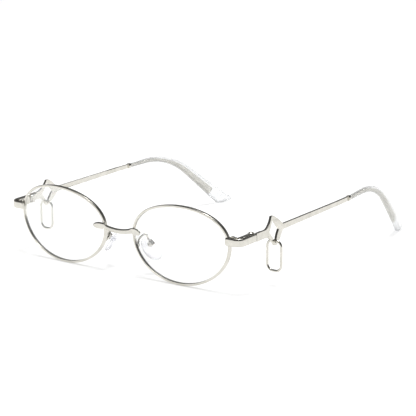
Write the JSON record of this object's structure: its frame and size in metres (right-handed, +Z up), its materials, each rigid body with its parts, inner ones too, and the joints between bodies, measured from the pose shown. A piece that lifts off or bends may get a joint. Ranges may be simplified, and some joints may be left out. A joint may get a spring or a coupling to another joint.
{
  "type": "spectacles",
  "caption": "Oval wire spectacles with clear lenses, adjustable nose pads, folding temples with a star-shaped opening and an oblong hanging link.",
  "frame": {"origin": "middle of the bounding box in X and Y, on the surface that rims and temple tips rest on", "axes": "+X towards the wearer's left, the wearer looks along -Y, +Z up"},
  "size_m": [0.1376, 0.1494, 0.0345],
  "materials": {
    "metal": "polished silver-coloured metal, slightly warm",
    "lens": "clear and untinted, smooth on both sides",
    "tip": "clear and glossy",
    "pad": "clear, soft and slightly bluish"
  },
  "bodies": {
    "front": {"bridge": "metal", "rim_left": "metal", "rim_right": "metal", "lens_left": "lens", "lens_right": "lens", "endpiece_left": "metal", "endpiece_right": "metal", "rim_lock_upper_left": "metal", "rim_lock_upper_right": "metal", "rim_lock_lower_left": "metal", "rim_lock_lower_right": "metal", "rim_lock_screw_left": "metal", "rim_lock_screw_right": "metal", "hinge_front_left": "metal", "hinge_front_right": "metal", "hinge_screw_left": "metal", "hinge_screw_right": "metal", "pad_arm_left": "metal", "pad_arm_right": "metal", "pad_box_left": "metal", "pad_box_right": "metal", "pad_screw_left": "metal", "pad_screw_right": "metal"},
    "left_temple": {"temple_left": "metal", "hinge_rear_left": "metal", "collar_left": "metal", "temple_tip_left": "tip"},
    "right_temple": {"temple_right": "metal", "hinge_rear_right": "metal", "collar_right": "metal", "temple_tip_right": "tip"},
    "left_link": {"pendant_link_left": "metal"},
    "right_link": {"pendant_link_right": "metal"},
    "left_pad": {"nose_pad_left": "pad"},
    "right_pad": {"nose_pad_right": "pad"}
  },
  "joints": [
    {"name": "left_temple_fold", "type": "hinge", "parent": "front", "child": "left_temple", "pos_m": [0.06195, -0.06188, 0.02294], "axis": [0, -0.0607, 0.9982], "range_deg": [0, 90]},
    {"name": "right_temple_fold", "type": "hinge", "parent": "front", "child": "right_temple", "pos_m": [-0.06195, -0.06188, 0.02294], "axis": [0, 0.0607, -0.9982], "range_deg": [0, 85]},
    {"name": "left_link_swing", "type": "hinge", "parent": "left_temple", "child": "left_link", "pos_m": [0.06479, -0.04959, 0.01947], "axis": [-1, 0, 0], "range_deg": [-80, 80]},
    {"name": "right_link_swing", "type": "hinge", "parent": "right_temple", "child": "right_link", "pos_m": [-0.06479, -0.04959, 0.01947], "axis": [-1, 0, 0], "range_deg": [-80, 80]},
    {"name": "left_pad_rock", "type": "hinge", "parent": "front", "child": "left_pad", "pos_m": [0.01175, -0.06556, 0.01345], "axis": [0.1493, 0.8822, 0.4466], "range_deg": [-8, 8]},
    {"name": "right_pad_rock", "type": "hinge", "parent": "front", "child": "right_pad", "pos_m": [-0.01175, -0.06556, 0.01345], "axis": [0.1493, -0.8822, -0.4466], "range_deg": [-8, 8]}
  ]
}
